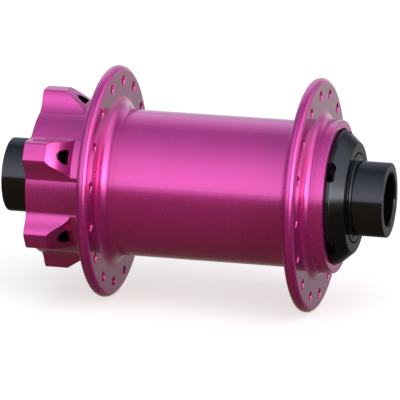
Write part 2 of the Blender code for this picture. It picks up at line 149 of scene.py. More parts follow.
# Axle, end caps and adjuster
AXLE_RADIUS = 12.3 * MM
AXLE_BORE_RADIUS = 9.8 * MM
SHIELD_BOSS_RADIUS = 14.0 * MM
SHIELD_THICKNESS = 0.8 * MM
AXLE_THREAD_PITCH = 1.0 * MM
AXLE_THREAD_DEPTH = 0.5 * MM
THRU_AXLE_RADIUS = 7.5 * MM
CAP_RADIUS = 10.5 * MM
CAP_BORE_CHAMFER = 0.5 * MM
CAP_FOOT_RADIUS = 0.6 * MM
CAP_FLANGE_INNER_Y = 44.4 * MM
CAP_FLANGE_OUTER_Y = 45.65 * MM
CAP_PLUG_RADIUS = 9.5 * MM
CAP_SEAL_Y = 38.0 * MM
CAP_SEAL_GROOVE_RADIUS = 8.65 * MM
SEAL_GROOVE_WIDTH = 1.2 * MM
ADJUSTER_BORE_RADIUS = 12.75 * MM
ADJUSTER_SEAT_Y = -40.4 * MM
ADJUSTER_SEAT_RADIUS = 14.7 * MM
ADJUSTER_CONE_START_Y = -41.8 * MM
ADJUSTER_CONE_END_RADIUS = 15.45 * MM
ADJUSTER_SEAL_Y = -42.6 * MM
ADJUSTER_SEAL_GROOVE_RADIUS = 13.55 * MM
SLOT_COUNT = 5
SLOT_FIRST_ANGLE = math.radians(54.0)
SLOT_Y = -41.4 * MM
SLOT_WIDTH = 2.8 * MM
SLOT_LENGTH = 5.9 * MM
SLOT_BOTTOM_RADIUS = 15.0 * MM

# Fineness of the surfaces
ROUND_STEPS = 256
SMALL_ROUND_STEPS = 128
HOLE_STEPS = 32
CAGE_STEPS = 10 * BALL_COUNT
BALL_CUTS = 9
SHARP_ANGLE = math.radians(32.0)
FACE_WEIGHT = 60
TOUCHING = 0.02 * MM


# ---------------------------------------------------------------- profiles

def around(angle, radius, y=0.0):
    """The point at an angle about the hub's axis."""
    return Vector((-radius * math.sin(angle), y, radius * math.cos(angle)))


def arc(centre_y, centre_radius, radius, start_deg, end_deg, steps):
    """Points along an arc, where 0 degrees faces +Y and 90 faces outwards."""
    points = []
    for step in range(steps + 1):
        angle = math.radians(start_deg + (end_deg - start_deg) * step / steps)
        y = centre_y + radius * math.cos(angle)
        points.append((y, centre_radius + radius * math.sin(angle)))
    return points


def rounded_corner(before, corner, after, setback, steps):
    """The curve that softens one corner, from a setback before it to a setback after it."""
    point = Vector(corner)
    to_before = Vector(before) - point
    to_after = Vector(after) - point
    setback = min(setback, 0.45 * to_before.length, 0.45 * to_after.length)
    start = point + to_before.normalized() * setback
    end = point + to_after.normalized() * setback
    points = []
    for step in range(steps + 1):
        share = step / steps
        first = start.lerp(point, share)
        second = point.lerp(end, share)
        points.append(tuple(first.lerp(second, share)))
    return points


def softened(corners, steps=3):
    """A closed profile whose (y, radius, setback) corners are softened, or kept at 0."""
    profile = []
    for index, (y, radius, setback) in enumerate(corners):
        before = corners[index - 1][:2]
        after = corners[(index + 1) % len(corners)][:2]
        if setback > 0:
            profile += rounded_corner(before, (y, radius), after, setback, steps)
        else:
            profile.append((y, radius))
    return profile


def sharp(points):
    """Arc points as the kept corners of a softened profile."""
    return [(y, radius, 0) for y, radius in points]


def mirrored(profile):
    return [(-y, radius) for y, radius in profile]


# ---------------------------------------------------------------- meshes

def finish_mesh(bm, name):
    bmesh.ops.recalc_face_normals(bm, faces=bm.faces)
    mesh = bpy.data.meshes.new(name)
    bm.to_mesh(mesh)
    bm.free()
    mesh.shade_smooth()
    mesh.set_sharp_from_angle(angle=SHARP_ANGLE)
    obj = bpy.data.objects.new(name, mesh)
    bpy.context.scene.collection.objects.link(obj)
    return obj


def skin(name, columns, angles):
    """Joins one closed profile per angle into a closed ring-shaped surface about Y."""
    bm = bmesh.new()
    rings = []
    for profile, angle in zip(columns, angles):
        rings.append([bm.verts.new(around(angle, radius, y)) for y, radius in profile])
    for index, ring in enumerate(rings):
        other = rings[(index + 1) % len(rings)]
        for row in range(len(ring)):
            following = (row + 1) % len(ring)
            bm.faces.new((ring[row], ring[following], other[following], other[row]))
    return finish_mesh(bm, name)


def turned(name, profile, steps=SMALL_ROUND_STEPS):
    angles = [2 * math.pi * step / steps for step in range(steps)]
    return skin(name, [profile] * steps, angles)


def add_plug(bm, start, direction, sections, steps):
    """A closed round cutter of (distance, radius) sections along a direction."""
    turn = direction.to_track_quat("Z", "Y").to_matrix()
    rings = []
    for distance, radius in sections:
        ring = []
        for step in range(steps):
            angle = 2 * math.pi * step / steps
            offset = Vector((radius * math.cos(angle), radius * math.sin(angle), distance))
            ring.append(bm.verts.new(start + turn @ offset))
        rings.append(ring)
    for ring, other in zip(rings, rings[1:]):
        for step in range(steps):
            following = (step + 1) % steps
            bm.faces.new((ring[step], ring[following], other[following], other[step]))
    bm.faces.new(list(reversed(rings[0])))
    bm.faces.new(rings[-1])


def carve(obj, cutter_mesh):
    """Cuts the closed shapes of one bmesh out of an object and keeps its edges crisp."""
    tool = finish_mesh(cutter_mesh, obj.name + "_cutter")
    modifier = obj.modifiers.new("carve", "BOOLEAN")
    modifier.operation = "DIFFERENCE"
    modifier.solver = "EXACT"
    modifier.object = tool
    bpy.context.view_layer.update()
    carved = obj.evaluated_get(bpy.context.evaluated_depsgraph_get())
    mesh = bpy.data.meshes.new_from_object(carved)
    obj.modifiers.clear()
    old = obj.data
    obj.data = mesh
    mesh.name = obj.name
    bpy.data.meshes.remove(old)
    bpy.data.objects.remove(tool, do_unlink=True)
    mesh.shade_smooth()
    mesh.set_sharp_from_angle(angle=SHARP_ANGLE)


def flatten_normals(obj):
    """Lets the large faces set the shading, so that flats stay flat beside small fillets."""
    modifier = obj.modifiers.new("face_weighted_normals", "WEIGHTED_NORMAL")
    modifier.keep_sharp = True
    modifier.weight = FACE_WEIGHT


def dress(obj, node, material):
    """Makes a piece stand for its CAD node, on the node's own body."""
    obj.data.materials.clear()
    obj.data.materials.append(material)
    flatten_normals(obj)
    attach(obj, frame["nodes"][node]["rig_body"])
    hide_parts(node)
    return obj


# ---------------------------------------------------------------- hub shell

def law_of_cosines(first, second, opposite):
    """The angle between two sides of a triangle."""
    return math.acos((first ** 2 + second ** 2 - opposite ** 2) / (2 * first * second))


def lobe_angles():
    """Where the lobe meets its land, its flank and the floor, and the flank's own centre."""
    flank_angle = law_of_cosines(LOBE_CENTRE_RADIUS, LOBE_FLANK_REACH, LOBE_RADIUS + LOBE_FLANK_RADIUS)
    flank = Vector((math.cos(flank_angle), math.sin(flank_angle))) * LOBE_FLANK_REACH
    lobe = Vector((LOBE_CENTRE_RADIUS, 0.0))
    join = lobe + (flank - lobe).normalized() * LOBE_RADIUS
    land_angle = law_of_cosines(LOBE_TIP_RADIUS, LOBE_CENTRE_RADIUS, LOBE_RADIUS)
    crease_turn = law_of_cosines(MOUNT_FLOOR_RADIUS, LOBE_FLANK_REACH, LOBE_FLANK_RADIUS)
    return land_angle, math.atan2(join.y, join.x), flank_angle - crease_turn, flank_angle


LAND_ANGLE, JOIN_ANGLE, CREASE_ANGLE, FLANK_ANGLE = lobe_angles()
HALF_PITCH = math.pi / LOBE_COUNT
LOBE_ANGLES = [LOBE_FIRST_ANGLE + 2 * HALF_PITCH * lobe for lobe in range(LOBE_COUNT)]


def mount_radius(angle):
    """The rotor mount's outline at an angle about the axis."""
    offset = (angle - LOBE_FIRST_ANGLE) % (2 * HALF_PITCH)
    offset = min(offset, 2 * HALF_PITCH - offset)
    if offset <= JOIN_ANGLE:
        side = LOBE_CENTRE_RADIUS * math.sin(offset)
        radius = LOBE_CENTRE_RADIUS * math.cos(offset) + math.sqrt(LOBE_RADIUS ** 2 - side ** 2)
    elif offset < CREASE_ANGLE:
        turn = FLANK_ANGLE - offset
        side = LOBE_FLANK_REACH * math.sin(turn)
        radius = LOBE_FLANK_REACH * math.cos(turn) - math.sqrt(LOBE_FLANK_RADIUS ** 2 - side ** 2)
    else:
        radius = MOUNT_FLOOR_RADIUS
    overlap = max(EDGE - abs(radius - LOBE_TIP_RADIUS), 0.0) / EDGE
    return min(radius, LOBE_TIP_RADIUS) - overlap * overlap * EDGE / 4


def shell_angles():
    """Angles about the axis, closer together where a lobe turns a corner."""
    corner = math.radians(0.33)
    half = [LAND_ANGLE * share for share in (0.0, 0.3, 0.6)]
    half += [LAND_ANGLE + corner * step for step in (-2, -1, 0, 1, 2)]
    stretches = (
        (half[-1], JOIN_ANGLE, 3),
        (JOIN_ANGLE, CREASE_ANGLE - corner, 8),
        (CREASE_ANGLE - corner, CREASE_ANGLE, 1),
        (CREASE_ANGLE, CREASE_ANGLE + corner, 1),
        (CREASE_ANGLE + corner, HALF_PITCH, 5),
    )
    for start, end, steps in stretches:
        half += [start + (end - start) * step / steps for step in range(1, steps + 1)]
    both = [-angle for angle in reversed(half[1:-1])] + half
    return [lobe_angle + angle for lobe_angle in LOBE_ANGLES for angle in both]


def cone_radius(y):
    """The turned envelope of the mount: a land at the tips, a cone and a straight foot."""
    drop = max(MOUNT_CONE_START_Y - y, 0.0) * MOUNT_CONE_SLOPE
    return max(LOBE_TIP_RADIUS - drop, MOUNT_FOOT_RADIUS)


def mount_cove(outline):
    """The cove from the mount's outline to the flange's face, found by halving its arc."""
    cove_y = LEFT_FLANGE_Y + FLANGE_THICKNESS / 2 + MOUNT_COVE_RADIUS
    cove_radius = NECK_RADIUS + MOUNT_COVE_RADIUS
    low, high = 180.0, 270.0
    for _ in range(30):
        middle = (low + high) / 2
        y, radius = arc(cove_y, cove_radius, MOUNT_COVE_RADIUS, middle, middle, 1)[0]
        if radius > min(outline, cone_radius(y)):
            low = middle
        else:
            high = middle
    return arc(cove_y, cove_radius, MOUNT_COVE_RADIUS, low, 180.0, 8)


def mount_corners(angle):
    """The outside of one column of the rotor mount, down to the flange's face."""
    outline = mount_radius(angle)
    crease_y = MOUNT_CONE_START_Y - (LOBE_TIP_RADIUS - outline) / MOUNT_CONE_SLOPE
    crease_y = max(crease_y, MOUNT_FOOT_Y + 2 * EDGE)
    return [
        (ROTOR_FACE_Y, SHIELD_RECESS_RADIUS, EDGE),
        (ROTOR_FACE_Y, outline, EDGE),
        (crease_y, min(outline, cone_radius(crease_y)), FINE_EDGE),
        (MOUNT_FOOT_Y, min(outline, MOUNT_FOOT_RADIUS), FINE_EDGE),
    ] + sharp(mount_cove(outline))


def rim(centre_y):
    """The rounded rim of a spoke flange, from its +Y face to its -Y face."""
    half = FLANGE_THICKNESS / 2
    rise = FLANGE_RADIUS - FLANGE_FACE_RADIUS
    radius = (half * half + rise * rise) / (2 * rise)
    spread = math.degrees(math.asin(half / radius))
    return sharp(arc(centre_y, FLANGE_RADIUS - radius, radius, 90 - spread, 90 + spread, 14))


def body_corners():
    """The part of the shell's profile that is the same all the way round."""
    half = FLANGE_THICKNESS / 2
    cove = FLANGE_COVE_RADIUS
    left_inner = LEFT_FLANGE_Y - half
    right_inner = RIGHT_FLANGE_Y + half
    right_face = RIGHT_FLANGE_Y - half
    seat_end_y = RIGHT_RACE_LOW.y - FINE_EDGE
    recess_y = ROTOR_FACE_Y - SHIELD_RECESS_DEPTH
    corners = rim(LEFT_FLANGE_Y)
    corners += sharp(arc(left_inner - cove, BARREL_RADIUS + cove, cove, 0, -90, 14))
    corners += sharp(arc(right_inner + cove, BARREL_RADIUS + cove, cove, 270, 180, 14))
    corners += rim(RIGHT_FLANGE_Y)
    corners += sharp(arc(right_face - LIP_COVE_RADIUS, LIP_RADIUS + LIP_COVE_RADIUS,
                         LIP_COVE_RADIUS, 0, -90, 10))
    corners += [
        (LIP_END_Y, LIP_RADIUS, SOFT_EDGE),
        (LIP_END_Y, LIP_BORE_RADIUS, EDGE),
        (seat_end_y, LIP_BORE_RADIUS, FINE_EDGE),
        (seat_end_y, SEAT_RADIUS, FINE_EDGE),
        (RIGHT_RACE_HIGH.y, SEAT_RADIUS, 0),
        (RIGHT_RACE_HIGH.y, SHELL_BORE_RADIUS, EDGE),
        (LEFT_RACE_LOW.y, SHELL_BORE_RADIUS, EDGE),
        (LEFT_RACE_LOW.y, SEAT_RADIUS, 0),
        (recess_y, SEAT_RADIUS, FINE_EDGE),
        (recess_y, SHIELD_RECESS_RADIUS, 0),
    ]
    return corners


def add_spoke_holes(bm):
    """Holes with a small countersink on both faces of each flange."""
    flare = SPOKE_MOUTH_RADIUS - SPOKE_HOLE_RADIUS
    depth = FLANGE_THICKNESS + 2 * CUT_OVERSHOOT
    mouth = SPOKE_MOUTH_RADIUS + CUT_OVERSHOOT
    sections = [
        (0.0, mouth),
        (CUT_OVERSHOOT + flare, SPOKE_HOLE_RADIUS),
        (depth - CUT_OVERSHOOT - flare, SPOKE_HOLE_RADIUS),
        (depth, mouth),
    ]
    for flange_y, half_steps in ((LEFT_FLANGE_Y, 1), (RIGHT_FLANGE_Y, 0)):
        for index in range(SPOKES_PER_FLANGE):
            angle = math.pi * (2 * index + half_steps) / SPOKES_PER_FLANGE
            start = around(angle, SPOKE_CIRCLE_RADIUS, flange_y + depth / 2)
            add_plug(bm, start, Vector((0, -1, 0)), sections, HOLE_STEPS)


def mark_bolt_holes(mesh):
    """Gives the faces inside the tapped holes the shell's second material, a near-black painted shade.
    """
    axes = [around(angle, BOLT_CIRCLE_RADIUS) for angle in LOBE_ANGLES]
    for face in mesh.polygons:
        if face.center.y < ROTOR_FACE_Y - BOLT_DEPTH - MM:
            continue
        level = Vector((face.center.x, 0.0, face.center.z))
        axis = min(axes, key=lambda place: (place - level).length)
        inward = axis - level
        faces_in = face.normal.dot(inward) > 0.3 * inward.length
        is_bottom = face.normal.y > 0.9 and face.center.y < MOUNT_CONE_START_Y
        if inward.length < BOLT_MAJOR_RADIUS + FINE_EDGE and (faces_in or is_bottom):
            face.material_index = 1


def add_bolt_holes(bm):
    """Blind threaded holes that break out through the cone behind each lobe."""
    bottom = CUT_OVERSHOOT + BOLT_DEPTH
    sections = [
        (0.0, BOLT_MAJOR_RADIUS + CUT_OVERSHOOT + FINE_EDGE),
        (CUT_OVERSHOOT + BOLT_MAJOR_RADIUS - BOLT_MINOR_RADIUS + FINE_EDGE, BOLT_MINOR_RADIUS),
    ]
    while sections[-1][0] + BOLT_PITCH <= bottom:
        crest = sections[-1][0]
        sections.append((crest + BOLT_PITCH / 2, BOLT_MAJOR_RADIUS))
        sections.append((crest + BOLT_PITCH, BOLT_MINOR_RADIUS))
    sections.append((bottom + FINE_EDGE, BOLT_MINOR_RADIUS))
    for angle in LOBE_ANGLES:
        start = around(angle, BOLT_CIRCLE_RADIUS, ROTOR_FACE_Y + CUT_OVERSHOOT)
        add_plug(bm, start, Vector((0, -1, 0)), sections, HOLE_STEPS)


def mark_flange_faces(mesh):
    """Gives the flat faces of the spoke flanges the shell's third material, a smoother copy of the
    magenta whose darker colour is painted shade that dims what the faces mirror.
    """
    for face in mesh.polygons:
        nearest = min(abs(face.center.y - centre) for centre in (LEFT_FLANGE_Y, RIGHT_FLANGE_Y))
        on_face = abs(nearest - FLANGE_THICKNESS / 2) < TOUCHING
        if on_face and abs(face.normal.y) > 0.99:
            face.material_index = 2


def make_shell(material, hole_shade_material, shaded_face_material):
    angles = shell_angles()
    body = body_corners()
    columns = [softened(mount_corners(angle) + body) for angle in angles]
    shell = skin("hub_shell_surface", columns, angles)
    holes = bmesh.new()
    add_spoke_holes(holes)
    add_bolt_holes(holes)
    carve(shell, holes)
    dress(shell, "hub_shell", material)
    # The second material is near-black painted shade for the threaded holes.
    shell.data.materials.append(hole_shade_material)
    # The third material, for the flanges' flat faces, is darker: painted shade on what they mirror.
    shell.data.materials.append(shaded_face_material)
    mark_bolt_holes(shell.data)
    mark_flange_faces(shell.data)


# ---------------------------------------------------------------- axle, caps and adjuster

def ridges(start_y, end_y, crest, root, pitch):
    """A turned thread on a profile that runs from high y to low y."""
    corners = []
    count = int((start_y - end_y) / pitch)
    for index in range(count):
        y = start_y - index * pitch
        corners += [(y, root, 0), (y - pitch / 2, crest, 0)]
    return corners


def make_axle(material):
    boss_y = LEFT_RACE_HIGH.y + EDGE
    shield_inner_y = AXLE_HIGH.y - SHIELD_THICKNESS
    groove_y = (AXLE_HIGH.y + shield_inner_y) / 2
    shield_radius = AXLE_HIGH.x
    thread_start_y = RIGHT_RACE_LOW.y - 1.2 * MM
    thread_end_y = AXLE_LOW.y + 0.5 * MM
    thread_root = AXLE_RADIUS - AXLE_THREAD_DEPTH
    corners = [
        (AXLE_HIGH.y, AXLE_BORE_RADIUS, EDGE),
        (AXLE_HIGH.y, shield_radius, EDGE),
        (groove_y + FINE_EDGE, shield_radius, 0),
        (groove_y, shield_radius - 2 * EDGE, 0),
        (groove_y - FINE_EDGE, shield_radius, 0),
        (shield_inner_y, shield_radius, EDGE),
        (shield_inner_y, SHIELD_BOSS_RADIUS, 0),
        (boss_y, SHIELD_BOSS_RADIUS, FINE_EDGE),
        (boss_y, AXLE_RADIUS, 0),
        (thread_start_y + EDGE, AXLE_RADIUS, 0),
    ]
    corners += ridges(thread_start_y, thread_end_y, AXLE_RADIUS, thread_root, AXLE_THREAD_PITCH)
    corners += [
        (thread_end_y, thread_root, 0),
        (AXLE_LOW.y, thread_root, FINE_EDGE),
        (AXLE_LOW.y, AXLE_BORE_RADIUS, EDGE),
    ]
    axle = turned("axle_surface", softened(corners))
    return dress(axle, "axle", material)


def cap_profile():
    """The left end cap: its outer tube, its flange, and its plug with the O-ring's groove."""
    half_groove = SEAL_GROOVE_WIDTH / 2
    corners = [
        (END_Y, THRU_AXLE_RADIUS + CAP_BORE_CHAMFER, FINE_EDGE),
        (END_Y, CAP_RADIUS, SOFT_EDGE),
    ]
    corners += sharp(arc(CAP_FLANGE_OUTER_Y + CAP_FOOT_RADIUS, CAP_RADIUS + CAP_FOOT_RADIUS,
                         CAP_FOOT_RADIUS, 270, 180, 6))
    corners += [
        (CAP_FLANGE_OUTER_Y, CAP_HIGH.x, EDGE),
        (CAP_FLANGE_INNER_Y, CAP_HIGH.x, FINE_EDGE),
        (CAP_FLANGE_INNER_Y, CAP_PLUG_RADIUS, FINE_EDGE),
        (CAP_SEAL_Y + half_groove, CAP_PLUG_RADIUS, FINE_EDGE),
        (CAP_SEAL_Y + half_groove, CAP_SEAL_GROOVE_RADIUS, FINE_EDGE),
        (CAP_SEAL_Y - half_groove, CAP_SEAL_GROOVE_RADIUS, FINE_EDGE),
        (CAP_SEAL_Y - half_groove, CAP_PLUG_RADIUS, FINE_EDGE),
        (CAP_LOW.y, CAP_PLUG_RADIUS, 2 * EDGE),
        (CAP_LOW.y, THRU_AXLE_RADIUS, EDGE),
        (END_Y - CAP_BORE_CHAMFER, THRU_AXLE_RADIUS, 0),
    ]
    return softened(corners)


def make_caps(material):
    profile = cap_profile()
    for side, shape in (("left", profile), ("right", mirrored(profile))):
        cap = turned(side + "_end_cap_surface", shape)
        dress(cap, side + "_end_cap", material)


def make_o_ring(node, material):
    low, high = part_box(node)
    section = (high.y - low.y) / 2
    centre_y = (high.y + low.y) / 2
    points = arc(centre_y, high.x - section, section, 0, 360, 16)[:-1]
    ring = turned(node + "_surface", points)
    dress(ring, node, material)


def add_spanner_slot(bm, angle):
    """A cutter for one round-ended slot that runs in towards the axis."""
    tangent = Vector((math.cos(angle), 0.0, math.sin(angle)))
    straight = (SLOT_LENGTH - SLOT_WIDTH) / 2
    sections = (
        (SLOT_BOTTOM_RADIUS, EDGE),
        (SLOT_BOTTOM_RADIUS + EDGE, 0.0),
        (ADJUSTER_HIGH.x + MM, 0.0),
    )
    loops = []
    for radius, inset in sections:
        end_radius = SLOT_WIDTH / 2 - inset
        outline = arc(straight, 0.0, end_radius, -90, 90, HOLE_STEPS // 2)
        outline += arc(-straight, 0.0, end_radius, 90, 270, HOLE_STEPS // 2)
        centre = around(angle, radius, SLOT_Y)
        loops.append([bm.verts.new(centre + tangent * along + Vector((0.0, across, 0.0)))
                      for along, across in outline])
    bm.faces.new(loops[0][::-1])
    bm.faces.new(loops[-1])
    for low, high in zip(loops, loops[1:]):
        for i in range(len(low)):
            bm.faces.new((low[i - 1], low[i], high[i], high[i - 1]))


def make_adjuster(material):
    """A ring with a conical end, spanner slots, and a groove for its O-ring."""
    half_groove = SEAL_GROOVE_WIDTH / 2
    corners = [
        (ADJUSTER_HIGH.y, ADJUSTER_HIGH.x, EDGE),
        (ADJUSTER_CONE_START_Y, ADJUSTER_HIGH.x, SOFT_EDGE),
        (ADJUSTER_LOW.y, ADJUSTER_CONE_END_RADIUS, SOFT_EDGE),
        (ADJUSTER_LOW.y, ADJUSTER_BORE_RADIUS, FINE_EDGE),
        (ADJUSTER_SEAL_Y - half_groove, ADJUSTER_BORE_RADIUS, 0),
        (ADJUSTER_SEAL_Y - half_groove, ADJUSTER_SEAL_GROOVE_RADIUS, 0),
        (ADJUSTER_SEAL_Y + half_groove, ADJUSTER_SEAL_GROOVE_RADIUS, 0),
        (ADJUSTER_SEAL_Y + half_groove, ADJUSTER_BORE_RADIUS, 0),
        (ADJUSTER_SEAT_Y, ADJUSTER_BORE_RADIUS, FINE_EDGE),
        (ADJUSTER_SEAT_Y, ADJUSTER_SEAT_RADIUS, 0),
        (ADJUSTER_HIGH.y, ADJUSTER_SEAT_RADIUS, FINE_EDGE),
    ]
    adjuster = turned("preload_adjuster_surface", softened(corners), ROUND_STEPS)
    slots = bmesh.new()
    for index in range(SLOT_COUNT):
        add_spanner_slot(slots, SLOT_FIRST_ANGLE + 2 * math.pi * index / SLOT_COUNT)
    carve(adjuster, slots)
    return dress(adjuster, "preload_adjuster", material)


def plain_ring(low, high, bore_radius, outer_radius, setback):
    """The profile of a ring with a square section and softened edges."""
    return softened([
        (high.y, bore_radius, setback),
        (high.y, outer_radius, setback),
        (low.y, outer_radius, setback),
        (low.y, bore_radius, setback),
    ])


def make_spacer(material):
    low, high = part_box("preload_spacer")
    profile = plain_ring(low, high, RACE_BORE_RADIUS, high.x, FINE_EDGE)
    spacer = turned("preload_spacer_surface", profile)
    return dress(spacer, "preload_spacer", material)


# ---------------------------------------------------------------- bearings

def groove(centre_y, land_radius, side):
    """A race's ball groove, where side is 1 on the outer race and -1 on the inner one."""
    depth = abs(land_radius - BALL_CIRCLE_RADIUS)
    spread = math.degrees(math.acos(depth / GROOVE_RADIUS))
    middle = 90.0 * side
    points = arc(centre_y, BALL_CIRCLE_RADIUS, GROOVE_RADIUS,
                 middle - side * spread, middle + side * spread, 14)
    return sharp(sorted(points, key=lambda point: -point[0]))


def make_races(side, low_y, high_y, material):
    centre_y = (low_y + high_y) / 2
    inner = [(high_y, RACE_BORE_RADIUS, EDGE), (high_y, INNER_LAND_RADIUS, EDGE)]
    inner += groove(centre_y, INNER_LAND_RADIUS, -1)
    inner += [(low_y, INNER_LAND_RADIUS, EDGE), (low_y, RACE_BORE_RADIUS, EDGE)]
    race = turned(side + "_inner_race_surface", softened(inner))
    dress(race, side + "_inner_race", material)
    outer_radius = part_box(side + "_outer_race")[1].z
    step_high = centre_y + SEAL_STEP_HALF_WIDTH
    step_low = centre_y - SEAL_STEP_HALF_WIDTH
    outer = [
        (high_y, outer_radius, EDGE), (high_y, SEAL_STEP_RADIUS, FINE_EDGE),
        (step_high, SEAL_STEP_RADIUS, 0), (step_high, OUTER_LAND_RADIUS, FINE_EDGE),
    ]
    outer += groove(centre_y, OUTER_LAND_RADIUS, 1)
    outer += [
        (step_low, OUTER_LAND_RADIUS, FINE_EDGE), (step_low, SEAL_STEP_RADIUS, 0),
        (low_y, SEAL_STEP_RADIUS, FINE_EDGE), (low_y, outer_radius, EDGE),
    ]
    race = turned(side + "_outer_race_surface", softened(outer))
    dress(race, side + "_outer_race", material)


def make_seal(node, outward, material):
    """A moulded seal with a raised bead at its rim and a thinner lip at its bore."""
    low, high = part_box(node)
    outer_radius = high.x
    lip_radius = INNER_LAND_RADIUS + SEAL_LIP_GAP
    face_y, back_y = (high.y, low.y) if outward > 0 else (low.y, high.y)
    dip_y = face_y - outward * SEAL_DIP
    corners = [
        (back_y, lip_radius, FINE_EDGE),
        (dip_y, lip_radius, FINE_EDGE),
        (dip_y, lip_radius + SEAL_LIP_WIDTH, 0),
        (face_y, lip_radius + SEAL_RIB_INSET, FINE_EDGE),
        (face_y, outer_radius - SEAL_RIB_INSET, FINE_EDGE),
        (dip_y, outer_radius - SEAL_LIP_WIDTH, 0),
        (dip_y, outer_radius - SEAL_BEAD_WIDTH, 0),
        (face_y, outer_radius - SEAL_BEAD_CREST, 0),
        (face_y, outer_radius, FINE_EDGE),
        (back_y, outer_radius, FINE_EDGE),
    ]
    seal = turned(node + "_surface", softened(corners))
    dress(seal, node, material)


def make_cage(side, centre_y, material):
    """A ring with a round pocket through it for each ball."""
    node = side + "_ball_cage"
    low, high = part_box(node)
    profile = plain_ring(low, high, CAGE_INNER_RADIUS, high.z, EDGE)
    cage = turned(node + "_surface", profile, CAGE_STEPS)
    pockets = bmesh.new()
    reach = high.z + 1.0 * MM
    depth = reach - CAGE_INNER_RADIUS + 1.0 * MM
    sections = [(0.0, CAGE_POCKET_RADIUS), (depth, CAGE_POCKET_RADIUS)]
    for index in range(BALL_COUNT):
        angle = 2 * math.pi * index / BALL_COUNT
        add_plug(pockets, around(angle, reach, centre_y), around(angle, -1.0), sections, HOLE_STEPS)
    carve(cage, pockets)
    dress(cage, node, material)


def make_ball(node, index, centre_y, material):
    """A ball as a cube whose faces are divided and drawn out to the sphere."""
    bm = bmesh.new()
    bmesh.ops.create_cube(bm, size=1.0)
    bmesh.ops.subdivide_edges(bm, edges=bm.edges, cuts=BALL_CUTS, use_grid_fill=True)
    centre = around(2 * math.pi * index / BALL_COUNT, BALL_CIRCLE_RADIUS, centre_y)
    for vert in bm.verts:
        vert.co = centre + vert.co.normalized() * BALL_RADIUS
    ball = finish_mesh(bm, node + "_surface")
    dress(ball, node, material)


def make_bearing(side, steel, rubber, polymer):
    low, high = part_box(side + "_inner_race")
    centre_y = (low.y + high.y) / 2
    make_races(side, low.y, high.y, steel)
    for place in ("inboard", "outboard"):
        node = f"{side}_{place}_seal"
        seal_low, seal_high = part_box(node)
        outward = 1 if (seal_low.y + seal_high.y) / 2 > centre_y else -1
        make_seal(node, outward, rubber)
    make_cage(side, centre_y, polymer)
    for index in range(BALL_COUNT):
        make_ball(f"{side}_ball_{index + 1:02d}", index, centre_y, steel)


# ---------------------------------------------------------------- materials

class Nodes:
    """Short forms for building the node tree of a material or of the world."""

    def __init__(self, owner, shader="Principled BSDF"):
        owner.use_nodes = True
        self.owner = owner
        self.tree = owner.node_tree
        self.shader = self.tree.nodes[shader]

    def add(self, kind, **values):
        node = self.tree.nodes.new(kind)
        for key, value in values.items():
            setattr(node, key, value)
        return node

    def link(self, source, target):
        self.tree.links.new(source, target)

    def math(self, operation, first, second):
        node = self.add("ShaderNodeMath", operation=operation)
        for socket, value in zip(node.inputs, (first, second)):
            if isinstance(value, (int, float)):
                socket.default_value = value
            else:
                self.link(value, socket)
        return node.outputs[0]

    def vector_math(self, operation, *values):
        node = self.add("ShaderNodeVectorMath", operation=operation)
        sockets = [socket for socket in node.inputs if socket.enabled]
        for socket, value in zip(sockets, values):
            self.link(value, socket)
        return node.outputs[0]

    def ramp(self, angle, stops):
        """Colours at angles from -180 to 180 degrees, joined smoothly."""
        node = self.add("ShaderNodeValToRGB")
        self.link(self.math("ADD", self.math("DIVIDE", angle, 2 * math.pi), 0.5), node.inputs["Fac"])
        elements = node.color_ramp.elements
        while len(elements) < len(stops):
            elements.new(0.5)
        for element, (angle_deg, colour) in zip(elements, stops):
            element.position = (angle_deg + 180) / 360
            element.color = (*colour, 1.0)
        return node.outputs["Color"]

    def position(self):
        """The place on the object at rest, split into its parts."""
        place = self.add("ShaderNodeTexCoord").outputs["Object"]
        parts = self.add("ShaderNodeSeparateXYZ")
        self.link(place, parts.inputs[0])
        return place, parts

    def lathe_coordinates(self, pitch):
        """Coordinates that change only across the marks a lathe leaves, one unit per pitch."""
        _, parts = self.position()
        square = self.math("ADD", self.math("MULTIPLY", parts.outputs["X"], parts.outputs["X"]),
                           self.math("MULTIPLY", parts.outputs["Z"], parts.outputs["Z"]))
        radius = self.math("SQRT", square, 0.0)
        joined = self.add("ShaderNodeCombineXYZ")
        self.link(self.math("DIVIDE", radius, pitch), joined.inputs["X"])
        self.link(self.math("DIVIDE", parts.outputs["Y"], pitch), joined.inputs["Y"])
        return joined.outputs[0]

    def noise(self, vector, scale, detail=2.0, roughness=0.5):
        node = self.add("ShaderNodeTexNoise")
        node.inputs["Scale"].default_value = scale
        node.inputs["Detail"].default_value = detail
        node.inputs["Roughness"].default_value = roughness
        self.link(vector, node.inputs["Vector"])
        return node.outputs["Fac"]

    def spread(self, value, low, high):
        """Maps a noise value onto a range."""
        node = self.add("ShaderNodeMapRange")
        node.inputs["From Min"].default_value = 0.3
        node.inputs["From Max"].default_value = 0.7
        node.inputs["To Min"].default_value = low
        node.inputs["To Max"].default_value = high
        self.link(value, node.inputs["Value"])
        return node.outputs["Result"]

    def blend(self, value, first, second):
        """A colour between two, by a noise value."""
        node = self.add("ShaderNodeMix", data_type="RGBA")
        self.link(self.spread(value, 0.0, 1.0), node.inputs["Factor"])
        node.inputs["A"].default_value = (*first, 1.0)
        node.inputs["B"].default_value = (*second, 1.0)
        return node.outputs["Result"]

    def bump(self, heights, distance):
        """A chain of small surface heights, each a (value, strength) pair."""
        normal = None
        for value, strength in heights:
            node = self.add("ShaderNodeBump")
            node.inputs["Strength"].default_value = strength
            node.inputs["Distance"].default_value = distance
            self.link(value, node.inputs["Height"])
            if normal is not None:
                self.link(normal, node.inputs["Normal"])
            normal = node.outputs["Normal"]
        self.link(normal, self.shader.inputs["Normal"])


